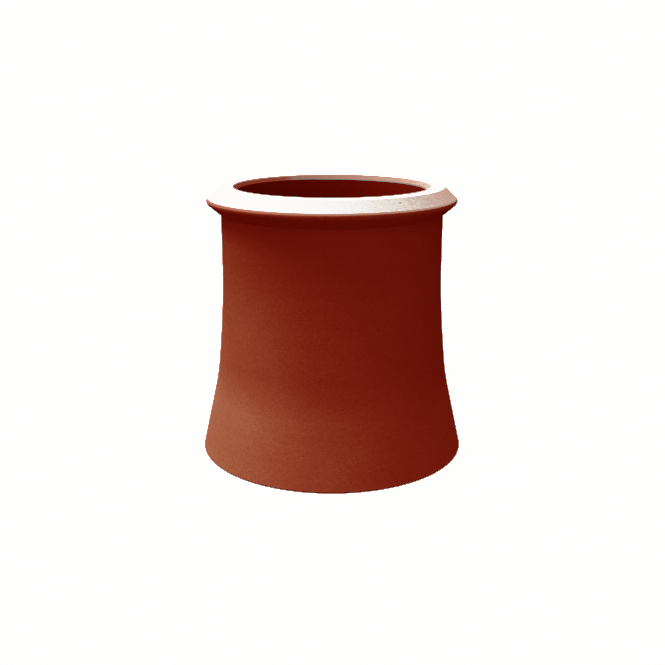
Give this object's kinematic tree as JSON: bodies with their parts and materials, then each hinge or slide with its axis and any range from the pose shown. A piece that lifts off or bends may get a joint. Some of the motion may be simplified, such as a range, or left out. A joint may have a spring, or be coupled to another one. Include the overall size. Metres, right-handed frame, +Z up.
{
  "type": "chimney pot",
  "caption": "Short round chimney pot of fired clay with a flared foot, a straight neck and an overhanging bevelled rim around a flue that is open right through.",
  "frame": {"origin": "centre of the foot's underside, on the surface the pot stands on", "axes": "+Z up the flue, the pot's axis of revolution; +X and +Y are any two square directions across it, because the pot is round"},
  "size_m": [0.299, 0.299, 0.3],
  "materials": {
    "terracotta": "matte"
  },
  "bodies": {
    "root": {"pot": "terracotta"}
  },
  "joints": []
}
